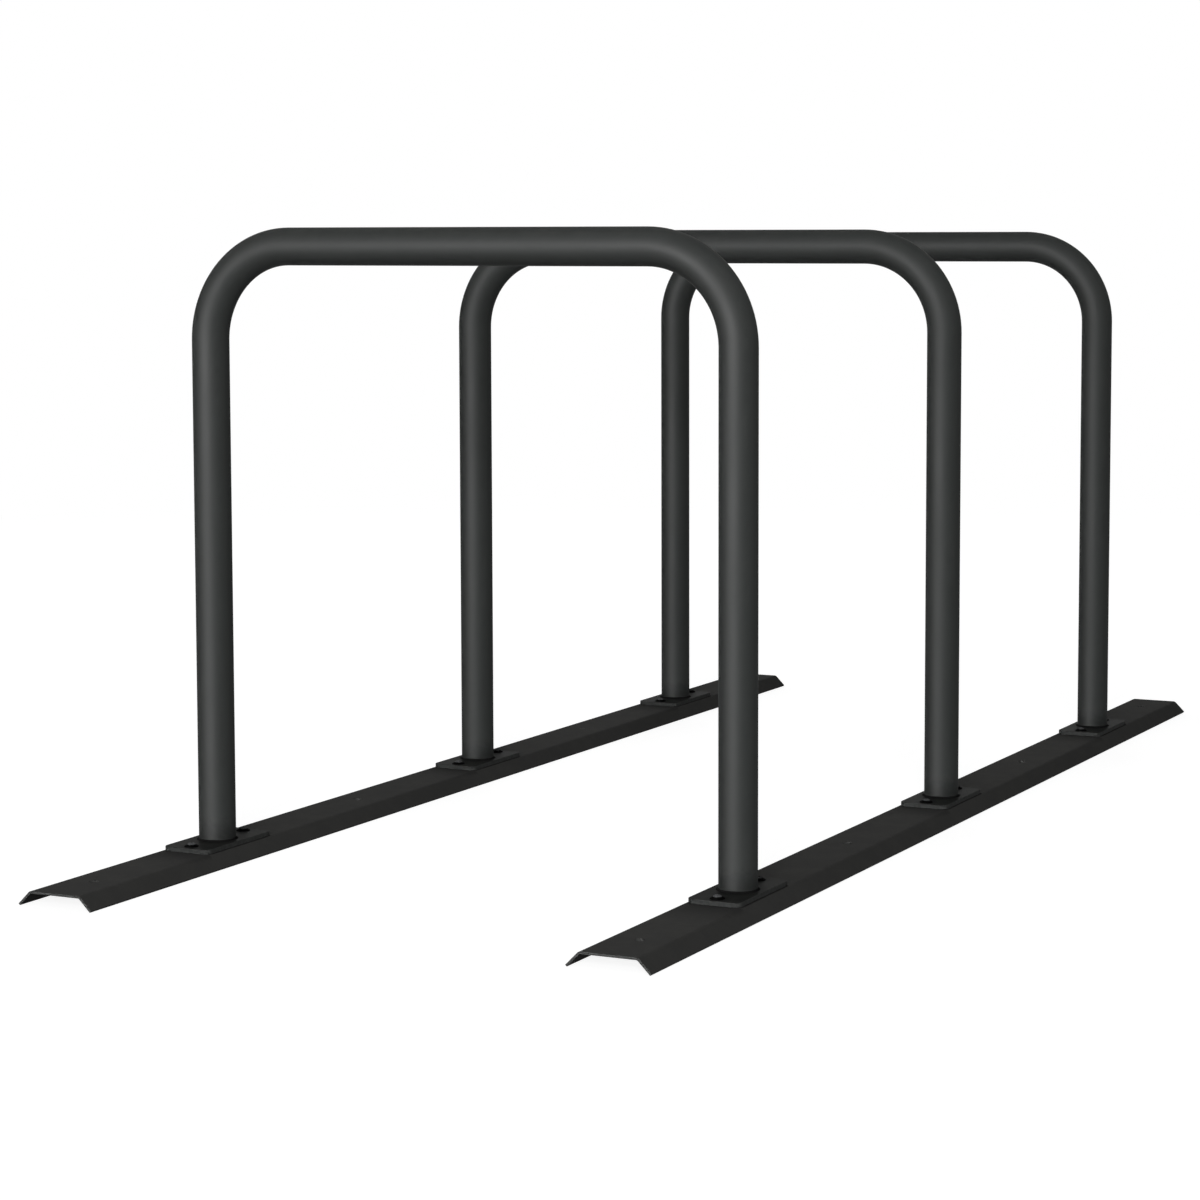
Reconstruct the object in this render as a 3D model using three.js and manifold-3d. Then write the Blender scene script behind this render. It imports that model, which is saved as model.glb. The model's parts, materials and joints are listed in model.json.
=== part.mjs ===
// A bike rack of three tube hoops bolted to two folded ground rails.
// Lengths are in millimetres. The origin is the middle of the rack, on the ground.
// +X runs across the rails in the plane of a hoop, +Y runs along the rails, +Z is up.

import * as THREE from "three";
import { mergeVertices } from "three/addons/utils/BufferGeometryUtils.js";
import Module from "manifold-3d";

// Hoops: how many, how far apart, and their outside width and their height above the foot plates
const HOOP_COUNT = 3;
const HOOP_PITCH = 700;
const HOOP_WIDTH = 800;
const HOOP_HEIGHT = 800;
const HOOP_BEND_RADIUS = 120.75;
const TUBE_DIAMETER = 48.3;
const TUBE_WALL = 3;

// Ground rails: sheet folded down along both sides, measured over the outside
const RAIL_OVERHANG = 350;
const RAIL_WEB_WIDTH = 74;
const RAIL_HEIGHT = 19;
const RAIL_SHEET = 3;
const RAIL_FOLD_INNER_RADIUS = 3;
const RAIL_FOLD_ANGLE = THREE.MathUtils.degToRad(45);
const ANCHOR_HOLE_DIAMETER = 12;
const ANCHOR_END_INSET = 80;

// Foot plates
const PLATE_LENGTH = 150;
const PLATE_WIDTH = 70;
const PLATE_THICKNESS = 6;
const PLATE_CORNER_RADIUS = 10;
const WELD_RUN = 1.6;
const WELD_HEIGHT = 2.2;
const WELD_CLEARANCE = 0.3;

// M8 button head socket screws with a collar, set in from the ends of a plate,
// with washers and nuts under the rail
const SCREW_END_INSET = 15;
const SCREW_DIAMETER = 8;
const SCREW_LENGTH = 20;
const SCREW_TIP_CHAMFER = 0.8;
const SCREW_COLLAR_DIAMETER = 17.8;
const SCREW_COLLAR_THICKNESS = 1.3;
const SCREW_DOME_DIAMETER = 13.6;
const SCREW_DOME_TOP_DIAMETER = 8.2;
const SCREW_HEAD_HEIGHT = 4.4;
const SOCKET_ACROSS_FLATS = 5;
const SOCKET_DEPTH = 2.6;
const SCREW_HOLE_CLEARANCE = 0.5;
const WASHER_DIAMETER = 16;
const WASHER_THICKNESS = 1.6;
const WASHER_CLEARANCE = 0.4;
const NUT_ACROSS_FLATS = 13;
const NUT_HEIGHT = 6.8;
const NUT_CLEARANCE = 0.3;

// Faces to a round, an arc or a length, and how far a cutter runs past what it cuts
const TUBE_SIDES = 24;
const BORE_SIDES = 16;
const BEND_STEPS = 8;
const SMALL_ROUND_SIDES = 16;
const FOLD_STEPS = 3;
const RAIL_STEPS = 8;
const PLATE_CORNER_STEPS = 4;
const DOME_STEPS = 2;
const HEX_SIDES = 6;
const CUT_OVERRUN = 1;

// Places worked out from the sizes above
const TUBE_RADIUS = TUBE_DIAMETER / 2;
const LEG_X = HOOP_WIDTH / 2 - TUBE_RADIUS;
const HOOP_ROW_LENGTH = (HOOP_COUNT - 1) * HOOP_PITCH;
const RAIL_LENGTH = HOOP_ROW_LENGTH + 2 * RAIL_OVERHANG;
const PLATE_BASE_Z = RAIL_HEIGHT;
const PLATE_TOP_Z = PLATE_BASE_Z + PLATE_THICKNESS;
const WEB_UNDERSIDE_Z = RAIL_HEIGHT - RAIL_SHEET;
const SCREW_HOLE_RADIUS = SCREW_DIAMETER / 2 + SCREW_HOLE_CLEARANCE;
const SCREW_FROM_LEG = PLATE_LENGTH / 2 - SCREW_END_INSET;
const ENDS = { front: -1, rear: 1 };
const SIDES = { left: -1, right: 1 };

const wasm = await Module();
wasm.setup();

// A three.js geometry as a solid that can be cut
function toSolid(geometry) {
  const bare = geometry.clone();
  bare.deleteAttribute("normal");
  bare.deleteAttribute("uv");
  const merged = mergeVertices(bare);
  return new wasm.Manifold(
    new wasm.Mesh({
      numProp: 3,
      vertProperties: new Float32Array(merged.attributes.position.array),
      triVerts: new Uint32Array(merged.index.array),
    }),
  );
}

// A cut solid as a three.js geometry again
function toGeometry(solid) {
  const mesh = solid.getMesh();
  const geometry = new THREE.BufferGeometry();
  geometry.setAttribute("position", new THREE.BufferAttribute(mesh.vertProperties, mesh.numProp));
  geometry.setIndex(new THREE.BufferAttribute(mesh.triVerts, 1));
  geometry.computeVertexNormals();
  return geometry;
}

// A coated or plated finish; each mesh gets one of its own
function finish(color, roughness, metalness) {
  return new THREE.MeshStandardMaterial({ color, roughness, metalness });
}

function hoopFinish() {
  return finish(0x3a3d3b, 0.6, 0.1);
}

function railFinish() {
  return finish(0x262726, 0.65, 0.1);
}

function plateFinish() {
  return finish(0x2b2c2b, 0.62, 0.1);
}

function screwFinish() {
  return finish(0x1c1d1c, 0.45, 0.7);
}

function zincFinish() {
  return finish(0x8f9395, 0.5, 0.8);
}

function namedMesh(name, geometry, material) {
  const mesh = new THREE.Mesh(geometry, material);
  mesh.name = name;
  return mesh;
}

// Points of a regular polygon or a faceted circle, anticlockwise
function ringPoints(radius, sides, centreX, centreY) {
  const points = [];
  for (let i = 0; i < sides; i += 1) {
    const angle = (2 * Math.PI * i) / sides;
    points.push(new THREE.Vector2(centreX + radius * Math.cos(angle), centreY + radius * Math.sin(angle)));
  }
  return points;
}

// Points of a circular arc, both ends included
function arcPoints(centreX, centreY, radius, startAngle, endAngle, steps) {
  const points = [];
  for (let i = 0; i <= steps; i += 1) {
    const angle = THREE.MathUtils.lerp(startAngle, endAngle, i / steps);
    points.push(new THREE.Vector2(centreX + radius * Math.cos(angle), centreY + radius * Math.sin(angle)));
  }
  return points;
}

function ringHole(radius, sides, centreX, centreY) {
  return new THREE.Path(ringPoints(radius, sides, centreX, centreY));
}

// A flat outline given a thickness upwards from z = 0
function slab(shape, thickness, steps = 1) {
  return new THREE.ExtrudeGeometry(shape, { depth: thickness, steps, bevelEnabled: false });
}

// A profile of (radius, height) points turned about +Z
function turned(profile, sides) {
  const geometry = new THREE.LatheGeometry(profile, sides);
  geometry.rotateX(Math.PI / 2);
  return geometry;
}

// An upright prism or faceted cylinder from z = low to z = high
function uprightPrism(radius, sides, centreX, centreY, low, high) {
  const geometry = slab(new THREE.Shape(ringPoints(radius, sides, centreX, centreY)), high - low);
  geometry.translate(0, 0, low);
  return geometry;
}

// The corner radius of a hexagon with this size across its flats
function hexRadius(acrossFlats) {
  return acrossFlats / (2 * Math.cos(Math.PI / HEX_SIDES));
}

// The centre line of a hoop: up one leg, over the top and down the other.
// Its stations lie only where the tube starts to bend, bends or stops bending.
class HoopLine extends THREE.Curve {
  constructor() {
    super();
    const bendX = LEG_X - HOOP_BEND_RADIUS;
    const bendZ = HOOP_HEIGHT - TUBE_RADIUS - HOOP_BEND_RADIUS;
    this.points = [new THREE.Vector3(-LEG_X, 0, 0)];
    this.tangents = [new THREE.Vector3(0, 0, 1)];
    this.addBend(-bendX, bendZ, Math.PI);
    this.addBend(bendX, bendZ, Math.PI / 2);
    this.points.push(new THREE.Vector3(LEG_X, 0, 0));
    this.tangents.push(new THREE.Vector3(0, 0, -1));
    this.steps = this.points.length - 1;
  }

  // A quarter bend that turns clockwise, seen from the front
  addBend(centreX, centreZ, startAngle) {
    for (let i = 0; i <= BEND_STEPS; i += 1) {
      const angle = startAngle - ((Math.PI / 2) * i) / BEND_STEPS;
      const x = centreX + HOOP_BEND_RADIUS * Math.cos(angle);
      const z = centreZ + HOOP_BEND_RADIUS * Math.sin(angle);
      this.points.push(new THREE.Vector3(x, 0, z));
      this.tangents.push(new THREE.Vector3(Math.sin(angle), 0, -Math.cos(angle)));
    }
  }

  getPointAt(share) {
    return this.points[Math.round(share * this.steps)].clone();
  }

  getTangentAt(share) {
    return this.tangents[Math.round(share * this.steps)].clone();
  }

  getPoint(share) {
    return this.getPointAt(share);
  }
}

// One bent tube, open at both feet
function hoopTube() {
  const line = new HoopLine();
  const section = new THREE.Shape(ringPoints(TUBE_RADIUS, TUBE_SIDES, 0, 0));
  section.holes.push(ringHole(TUBE_RADIUS - TUBE_WALL, BORE_SIDES, 0, 0));
  return new THREE.ExtrudeGeometry(section, { steps: line.steps, extrudePath: line, bevelEnabled: false });
}

// The fillet of weld round the foot of a leg
function weldBead() {
  const inner = TUBE_RADIUS + WELD_CLEARANCE;
  const toe = inner + WELD_RUN;
  const profile = [
    new THREE.Vector2(inner, 0),
    new THREE.Vector2(toe, 0),
    new THREE.Vector2(inner, WELD_HEIGHT),
    new THREE.Vector2(inner, 0),
  ];
  return turned(profile, TUBE_SIDES);
}

// A foot plate with rounded corners and its two screw holes, its underside at z = 0
function footPlate() {
  const cornerX = PLATE_WIDTH / 2 - PLATE_CORNER_RADIUS;
  const cornerY = PLATE_LENGTH / 2 - PLATE_CORNER_RADIUS;
  const corners = [
    [cornerX, cornerY],
    [-cornerX, cornerY],
    [-cornerX, -cornerY],
    [cornerX, -cornerY],
  ];
  const outline = corners.flatMap(([x, y], i) => {
    const start = (Math.PI / 2) * i;
    return arcPoints(x, y, PLATE_CORNER_RADIUS, start, start + Math.PI / 2, PLATE_CORNER_STEPS);
  });
  const shape = new THREE.Shape(outline);
  for (const end of Object.values(ENDS)) {
    shape.holes.push(ringHole(SCREW_HOLE_RADIUS, SMALL_ROUND_SIDES, 0, end * SCREW_FROM_LEG));
  }
  return slab(shape, PLATE_THICKNESS);
}

// One half of the rail's section from the middle of the web's top, round the flange and back under the web.
// side is 1 for +X and -1 for -X.
function halfRailSection(side) {
  const outerRadius = RAIL_FOLD_INNER_RADIUS + RAIL_SHEET;
  const foldX = RAIL_WEB_WIDTH / 2 - outerRadius * Math.tan(RAIL_FOLD_ANGLE / 2);
  const foldZ = RAIL_HEIGHT - outerRadius;
  const end = Math.PI / 2 - RAIL_FOLD_ANGLE;
  const outer = arcPoints(foldX, foldZ, outerRadius, Math.PI / 2, end, FOLD_STEPS);
  const inner = arcPoints(foldX, foldZ, RAIL_FOLD_INNER_RADIUS, end, Math.PI / 2, FOLD_STEPS);
  const tipZ = RAIL_SHEET * Math.cos(RAIL_FOLD_ANGLE);
  const tipX = RAIL_WEB_WIDTH / 2 + (RAIL_HEIGHT - tipZ) / Math.tan(RAIL_FOLD_ANGLE);
  const outerTip = new THREE.Vector2(tipX, tipZ);
  const innerTip = new THREE.Vector2(tipX - RAIL_SHEET * Math.sin(RAIL_FOLD_ANGLE), 0);
  const half = [...outer, outerTip, innerTip, ...inner];
  return half.map((point) => new THREE.Vector2(side * point.x, point.y));
}

// Where the ground anchors go along a rail: near both ends and midway between hoops
function anchorPlaces() {
  const endY = RAIL_LENGTH / 2 - ANCHOR_END_INSET;
  const places = [-endY, endY];
  for (let i = 0; i < HOOP_COUNT - 1; i += 1) {
    places.push(hoopY(i) + HOOP_PITCH / 2);
  }
  return places;
}

function screwPlaces() {
  const places = [];
  for (let i = 0; i < HOOP_COUNT; i += 1) {
    for (const end of Object.values(ENDS)) {
      places.push(hoopY(i) + end * SCREW_FROM_LEG);
    }
  }
  return places;
}

// A folded rail lying along Y, with its anchor and screw holes
function groundRail() {
  const section = new THREE.Shape([...halfRailSection(1), ...halfRailSection(-1).reverse()]);
  const blank = slab(section, RAIL_LENGTH, RAIL_STEPS);
  blank.rotateX(Math.PI / 2);
  blank.translate(0, RAIL_LENGTH / 2, 0);
  const low = WEB_UNDERSIDE_Z - CUT_OVERRUN;
  const high = RAIL_HEIGHT + CUT_OVERRUN;
  let rail = toSolid(blank);
  for (const y of anchorPlaces()) {
    const drill = uprightPrism(ANCHOR_HOLE_DIAMETER / 2, SMALL_ROUND_SIDES, 0, y, low, high);
    rail = rail.subtract(toSolid(drill));
  }
  for (const y of screwPlaces()) {
    const drill = uprightPrism(SCREW_HOLE_RADIUS, SMALL_ROUND_SIDES, 0, y, low, high);
    rail = rail.subtract(toSolid(drill));
  }
  return toGeometry(rail);
}

// A collared button head screw, the underside of its collar at z = 0 and its shank below
function buttonScrew() {
  const collarRadius = SCREW_COLLAR_DIAMETER / 2;
  const domeRadius = SCREW_DOME_DIAMETER / 2;
  const topRadius = SCREW_DOME_TOP_DIAMETER / 2;
  const shankRadius = SCREW_DIAMETER / 2;
  const rise = SCREW_HEAD_HEIGHT - SCREW_COLLAR_THICKNESS;
  // The dome is part of a ball whose centre lies on the axis, this high above the collar
  const ballRise = (topRadius ** 2 + rise ** 2 - domeRadius ** 2) / (2 * rise);
  const ballRadius = Math.hypot(domeRadius, ballRise);
  const startAngle = Math.atan2(-ballRise, domeRadius);
  const endAngle = Math.atan2(rise - ballRise, topRadius);
  const ballZ = SCREW_COLLAR_THICKNESS + ballRise;
  const profile = [
    new THREE.Vector2(0, -SCREW_LENGTH),
    new THREE.Vector2(shankRadius - SCREW_TIP_CHAMFER, -SCREW_LENGTH),
    new THREE.Vector2(shankRadius, SCREW_TIP_CHAMFER - SCREW_LENGTH),
    new THREE.Vector2(shankRadius, 0),
    new THREE.Vector2(collarRadius, 0),
    new THREE.Vector2(collarRadius, SCREW_COLLAR_THICKNESS),
    ...arcPoints(0, ballZ, ballRadius, startAngle, endAngle, DOME_STEPS),
    new THREE.Vector2(0, SCREW_HEAD_HEIGHT),
  ];
  const floorZ = SCREW_HEAD_HEIGHT - SOCKET_DEPTH;
  const overTop = SCREW_HEAD_HEIGHT + CUT_OVERRUN;
  const socket = uprightPrism(hexRadius(SOCKET_ACROSS_FLATS), HEX_SIDES, 0, 0, floorZ, overTop);
  const body = toSolid(turned(profile, SMALL_ROUND_SIDES));
  return toGeometry(body.subtract(toSolid(socket)));
}

// A plain washer, its underside at z = 0
function plainWasher() {
  const shape = new THREE.Shape(ringPoints(WASHER_DIAMETER / 2, SMALL_ROUND_SIDES, 0, 0));
  shape.holes.push(ringHole(SCREW_DIAMETER / 2 + WASHER_CLEARANCE, SMALL_ROUND_SIDES, 0, 0));
  return slab(shape, WASHER_THICKNESS);
}

// A hexagon nut, its underside at z = 0
function hexNut() {
  const shape = new THREE.Shape(ringPoints(hexRadius(NUT_ACROSS_FLATS), HEX_SIDES, 0, 0));
  shape.holes.push(ringHole(SCREW_DIAMETER / 2 + NUT_CLEARANCE, SMALL_ROUND_SIDES, 0, 0));
  return slab(shape, NUT_HEIGHT);
}

function hoopY(index) {
  return index * HOOP_PITCH - HOOP_ROW_LENGTH / 2;
}

function hoopPlaceName(index) {
  if (index === 0) {
    return "front";
  }
  if (index === HOOP_COUNT - 1) {
    return "rear";
  }
  return HOOP_COUNT === 3 ? "middle" : `middle_${index}`;
}

// A screw through plate and rail, with its washer and nut, at height zero of the ground
function screwStack(place) {
  const stack = new THREE.Group();
  const screw = namedMesh(`screw_${place}`, buttonScrew(), screwFinish());
  screw.position.z = PLATE_TOP_Z;
  const washer = namedMesh(`washer_${place}`, plainWasher(), zincFinish());
  washer.position.z = WEB_UNDERSIDE_Z - WASHER_THICKNESS;
  const nut = namedMesh(`nut_${place}`, hexNut(), zincFinish());
  nut.position.z = WEB_UNDERSIDE_Z - WASHER_THICKNESS - NUT_HEIGHT;
  stack.add(screw, washer, nut);
  return stack;
}

// The foot of one leg: plate, weld and two screw stacks
function legFoot(place) {
  const foot = new THREE.Group();
  const plate = namedMesh(`foot_plate_${place}`, footPlate(), plateFinish());
  plate.position.z = PLATE_BASE_Z;
  const weld = namedMesh(`weld_${place}`, weldBead(), plateFinish());
  weld.position.z = PLATE_TOP_Z;
  foot.add(plate, weld);
  for (const [endName, end] of Object.entries(ENDS)) {
    const stack = screwStack(`${place}_${endName}`);
    stack.position.y = end * SCREW_FROM_LEG;
    foot.add(stack);
  }
  return foot;
}

// A hoop with both of its feet
function hoopWithFeet(index) {
  const group = new THREE.Group();
  const place = hoopPlaceName(index);
  const tube = namedMesh(`hoop_${place}`, hoopTube(), hoopFinish());
  tube.position.z = PLATE_TOP_Z;
  group.add(tube);
  for (const [sideName, side] of Object.entries(SIDES)) {
    const foot = legFoot(`${place}_${sideName}`);
    foot.position.x = side * LEG_X;
    group.add(foot);
  }
  group.position.y = hoopY(index);
  return group;
}

const rack = new THREE.Group();
for (const [sideName, side] of Object.entries(SIDES)) {
  const rail = namedMesh(`rail_${sideName}`, groundRail(), railFinish());
  rail.position.x = side * LEG_X;
  rack.add(rail);
}
for (let i = 0; i < HOOP_COUNT; i += 1) {
  rack.add(hoopWithFeet(i));
}

export default rack;
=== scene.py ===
"""Looks of a hoop bike rack: three bent tube hoops on foot plates, bolted to two folded ground rails.

Lengths are in metres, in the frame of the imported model. The origin is the middle of the rack on the ground,
+X runs across the rails in the plane of a hoop, +Y runs along the rails and +Z is up.
"""

import json
import logging
import math
from collections.abc import Callable, Iterator
from dataclasses import dataclass
from enum import Enum
from itertools import pairwise, product
from typing import ClassVar

import bpy
from mathutils import Matrix, Vector

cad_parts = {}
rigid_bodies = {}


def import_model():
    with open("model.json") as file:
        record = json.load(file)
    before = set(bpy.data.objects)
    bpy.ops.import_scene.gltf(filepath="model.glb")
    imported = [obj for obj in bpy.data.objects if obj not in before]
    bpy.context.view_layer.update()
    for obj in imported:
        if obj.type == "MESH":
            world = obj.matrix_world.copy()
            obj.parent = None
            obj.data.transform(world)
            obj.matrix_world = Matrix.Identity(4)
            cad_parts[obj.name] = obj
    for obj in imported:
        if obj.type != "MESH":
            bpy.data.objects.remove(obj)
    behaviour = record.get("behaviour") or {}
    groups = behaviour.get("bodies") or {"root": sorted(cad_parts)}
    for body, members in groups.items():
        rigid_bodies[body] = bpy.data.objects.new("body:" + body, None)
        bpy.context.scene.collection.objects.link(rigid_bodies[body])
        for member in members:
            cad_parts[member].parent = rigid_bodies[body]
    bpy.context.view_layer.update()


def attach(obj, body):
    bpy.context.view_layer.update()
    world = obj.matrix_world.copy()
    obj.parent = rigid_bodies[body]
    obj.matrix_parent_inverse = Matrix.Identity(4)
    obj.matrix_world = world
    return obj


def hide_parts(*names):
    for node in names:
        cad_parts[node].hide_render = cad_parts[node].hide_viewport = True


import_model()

log = logging.getLogger("hoop_rack")

Colour = tuple[float, float, float, float]
Profile = list[tuple[float, float]]
Socket = bpy.types.NodeSocket
Sockets = dict[str, Socket]
Source = Socket | float | Colour

MM = 0.001
LEG_X = 375.85 * MM
HOOP_PITCH = 700 * MM
RAIL_TOP_Z = 19 * MM
PLATE_TOP_Z = 25 * MM
SHEET = 3 * MM
WEB_UNDERSIDE_Z = RAIL_TOP_Z - SHEET
SCREW_FROM_LEG = 60 * MM

# A Mix node's colour sockets have the names of its number sockets, so they are found by their place
COLOUR_A, COLOUR_B, COLOUR_RESULT = 6, 7, 2

# A distance past the reach of every mark on a coat
FAR_OFF = 1.0


class Side(Enum):
    """The two rails, and the legs that stand on them."""

    LEFT = -1
    RIGHT = 1

    @property
    def move(self) -> Vector:
        """From the middle of the rack to this side's rail."""
        return Vector((self.value * LEG_X, 0, 0))


class Row(Enum):
    """The three hoops, from the front of the rack to its rear."""

    FRONT = -1
    MIDDLE = 0
    REAR = 1

    @property
    def move(self) -> Vector:
        """From the middle of the rack to this hoop."""
        return Vector((0, self.value * HOOP_PITCH, 0))


class End(Enum):
    """The two ends of a foot plate, each with a screw."""

    FRONT = -1
    REAR = 1

    @property
    def move(self) -> Vector:
        """From the leg to this end's screw."""
        return Vector((0, self.value * SCREW_FROM_LEG, 0))


class Spread(Enum):
    """How the copies of a part are spread over the rack."""

    HOOPS = (Row,)
    RAILS = (Side,)
    FEET = (Row, Side)
    SCREWS = (Row, Side, End)

    def places(self) -> Iterator[tuple[str, Vector]]:
        """List the places of the copies, from the front to the rear.

        Returns:
            Each place's name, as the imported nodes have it, and its point on the ground.
        """
        for steps in product(*self.value):
            name = "_".join(step.name.lower() for step in steps)
            yield name, sum((step.move for step in steps), Vector())


class Slot(Enum):
    """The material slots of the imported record."""

    HOOP = "hoop_coat"
    RAIL = "rail_coat"
    PLATE = "plate_coat"
    SCREW = "screw_black"
    ZINC = "zinc_plated"


class Pick(Enum):
    """What is selected while a piece is edited."""

    POINTS = "VERT"
    EDGES = "EDGE"


class Keep(Enum):
    """What a tool leaves of a piece: what lies outside the tool, or inside it."""

    OUTSIDE = "DIFFERENCE"
    INSIDE = "INTERSECT"


class Shine(Enum):
    """What a lamp does to a surface: whether it lights it, and whether its gloss shows the lamp."""

    FULL = (True, True)
    LIGHT_ONLY = (True, False)
    GLOSS_ONLY = (False, True)


class Bench:
    """The modelling bench: operators that shape one piece at a time."""

    # Points nearer together than this are merged, and edges bent more than this are eased
    MERGED_WITHIN = 0.001 * MM
    EASED_FROM = math.radians(30)

    @staticmethod
    def clear() -> None:
        """Leave nothing selected."""
        for thing in bpy.context.view_layer.objects:
            thing.select_set(False)
        bpy.context.view_layer.objects.active = None

    @staticmethod
    def take(piece: bpy.types.Object) -> None:
        """Make one piece the only one that is selected.

        Args:
            piece: The piece.
        """
        Bench.clear()
        piece.select_set(True)
        bpy.context.view_layer.objects.active = piece

    @staticmethod
    def claim(name: str) -> bpy.types.Object:
        """Name the primitive that was just added and move its place into its mesh.

        Args:
            name: Its name.

        Returns:
            The new piece, with its object at the origin.
        """
        piece = bpy.context.object
        piece.name = name
        Bench.take(piece)
        bpy.ops.object.transform_apply(location=True, rotation=True, scale=True)
        return piece

    @staticmethod
    def edit(piece: bpy.types.Object, kind: Pick = Pick.POINTS, whole: bool = False) -> None:
        """Open a piece for editing.

        Args:
            piece: The piece.
            kind: What is selected from here on.
            whole: Whether all of it is selected, or nothing.
        """
        Bench.take(piece)
        bpy.ops.object.mode_set(mode="EDIT")
        bpy.ops.mesh.select_mode(type=kind.value)
        bpy.ops.mesh.select_all(action="SELECT" if whole else "DESELECT")

    @staticmethod
    def close() -> None:
        """Go back from editing."""
        bpy.ops.object.mode_set(mode="OBJECT")

    @staticmethod
    def pick_points(piece: bpy.types.Object, test: Callable[[Vector], bool]) -> None:
        """Open a piece for editing with some of its points selected.

        Args:
            piece: The piece, open for editing or not.
            test: Says of a point's place whether it is picked.
        """
        Bench.edit(piece, Pick.POINTS)
        Bench.close()
        for point in piece.data.vertices:
            point.select = test(point.co)
        bpy.ops.object.mode_set(mode="EDIT")

    @staticmethod
    def pick_edges(piece: bpy.types.Object, test: Callable[[Vector, Vector], bool]) -> None:
        """Open a piece for editing with some of its edges selected.

        Args:
            piece: The piece, open for editing or not.
            test: Says of the places of an edge's two ends whether it is picked.
        """
        Bench.edit(piece, Pick.EDGES)
        Bench.close()
        points = piece.data.vertices
        for edge in piece.data.edges:
            first, second = edge.vertices
            edge.select = test(points[first].co, points[second].co)
        bpy.ops.object.mode_set(mode="EDIT")

    @staticmethod
    def extrude(move: tuple[float, float, float]) -> None:
        """Extrude what is selected by a move."""
        bpy.ops.mesh.extrude_region_move(TRANSFORM_OT_translate={"value": move})

    @staticmethod
    def scale(share: tuple[float, float, float], centre: Vector) -> None:
        """Scale what is selected about a centre."""
        bpy.ops.transform.resize(value=share, center_override=centre)

    @staticmethod
    def ring(name: str, radius: float, sides: int, centre: Vector, filled: bool) -> bpy.types.Object:
        """Add a circle that the next steps grow from.

        Args:
            name: The piece's name.
            radius: The circle's radius.
            sides: How many points it has.
            centre: Where its middle is.
            filled: Whether it is closed by a face.

        Returns:
            The new piece.
        """
        Bench.clear()
        fill = "NGON" if filled else "NOTHING"
        bpy.ops.mesh.primitive_circle_add(vertices=sides, radius=radius, fill_type=fill, location=centre)
        return Bench.claim(name)

    @staticmethod
    def lathe(name: str, profile: Profile, sides: int, centre: Vector) -> bpy.types.Object:
        """Grow a round solid ring by ring along its profile.

        Args:
            name: The piece's name.
            profile: Radius and height of each ring. One that comes back to its start makes a hollow ring,
                and any other a full solid, closed at both ends.
            sides: How many sides a ring has.
            centre: The point on the axis that heights are measured from.

        Returns:
            The new piece.
        """
        first_radius, first_height = profile[0]
        full = profile[0] != profile[-1]
        piece = Bench.ring(name, first_radius, sides, centre + Vector((0, 0, first_height)), filled=full)
        Bench.edit(piece, whole=True)
        for (radius, height), (next_radius, next_height) in pairwise(profile):
            Bench.extrude((0, 0, next_height - height))
            share = next_radius / radius
            Bench.scale((share, share, 1), centre + Vector((0, 0, next_height)))
        Bench.close()
        Bench.face_outwards(piece)
        return piece

    @staticmethod
    def hexagon(name: str, profile: Profile, centre: Vector) -> bpy.types.Object:
        """Grow a six-sided solid along its profile and turn it by half a side.

        Args:
            name: The piece's name.
            profile: Radius at the corners and height of each step.
            centre: The point on the axis that heights are measured from.

        Returns:
            The new piece.
        """
        sides = 6
        piece = Bench.lathe(name, profile, sides, centre)
        Bench.edit(piece, whole=True)
        bpy.ops.transform.rotate(value=math.pi / sides, orient_axis="Z", center_override=centre)
        Bench.close()
        return piece

    @staticmethod
    def face_outwards(piece: bpy.types.Object) -> None:
        """Merge points that lie together and turn every face outwards.

        Args:
            piece: The piece.
        """
        Bench.edit(piece, whole=True)
        bpy.ops.mesh.remove_doubles(threshold=Bench.MERGED_WITHIN)
        bpy.ops.mesh.normals_make_consistent(inside=False)
        Bench.close()

    @staticmethod
    def apply(piece: bpy.types.Object, kind: str, **settings: object) -> None:
        """Give a piece a modifier and apply it.

        Args:
            piece: The piece.
            kind: The modifier's type.
            **settings: Values for the modifier's properties.
        """
        modifier = piece.modifiers.new(kind.lower(), kind)
        for setting, value in settings.items():
            setattr(modifier, setting, value)
        Bench.take(piece)
        bpy.ops.object.modifier_apply(modifier=modifier.name)

    @staticmethod
    def cut(piece: bpy.types.Object, tool: bpy.types.Object, keep: Keep = Keep.OUTSIDE) -> None:
        """Cut a piece with a tool, which is used up.

        Args:
            piece: The piece.
            tool: The tool.
            keep: What is left of the piece.
        """
        Bench.apply(piece, "BOOLEAN", object=tool, operation=keep.value, solver="EXACT")
        bpy.data.objects.remove(tool)

    @staticmethod
    def drill(sheet: bpy.types.Object, diameter: float, sides: int, top: Vector, depth: float) -> None:
        """Drill a round hole through a sheet.

        Args:
            sheet: The sheet.
            diameter: The hole's diameter.
            sides: How many sides it has.
            top: The middle of the hole on the sheet's upper face.
            depth: The sheet's thickness.
        """
        radius, spare = diameter / 2, 1 * MM
        Bench.cut(sheet, Bench.lathe("drill", [(radius, -depth - spare), (radius, spare)], sides, top))

    @staticmethod
    def ease(piece: bpy.types.Object, width: float, steps: int) -> None:
        """Round every sharp edge of a piece a little and shade it smooth.

        Args:
            piece: The piece.
            width: How far back from the edge the rounding starts.
            steps: How many faces it has.
        """
        Bench.apply(
            piece,
            "BEVEL",
            width=width,
            segments=steps,
            limit_method="ANGLE",
            angle_limit=Bench.EASED_FROM,
            use_clamp_overlap=True,
        )
        Bench.smooth(piece)

    @staticmethod
    def smooth(piece: bpy.types.Object, angle: float = math.radians(40)) -> None:
        """Shade a piece smooth where it bends gently, with flat faces kept flat.

        Args:
            piece: The piece.
            angle: The sharpest bend that is shaded smooth.
        """
        Bench.take(piece)
        bpy.ops.object.shade_smooth_by_angle(angle=angle)
        Bench.apply(piece, "WEIGHTED_NORMAL", keep_sharp=True)

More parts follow.
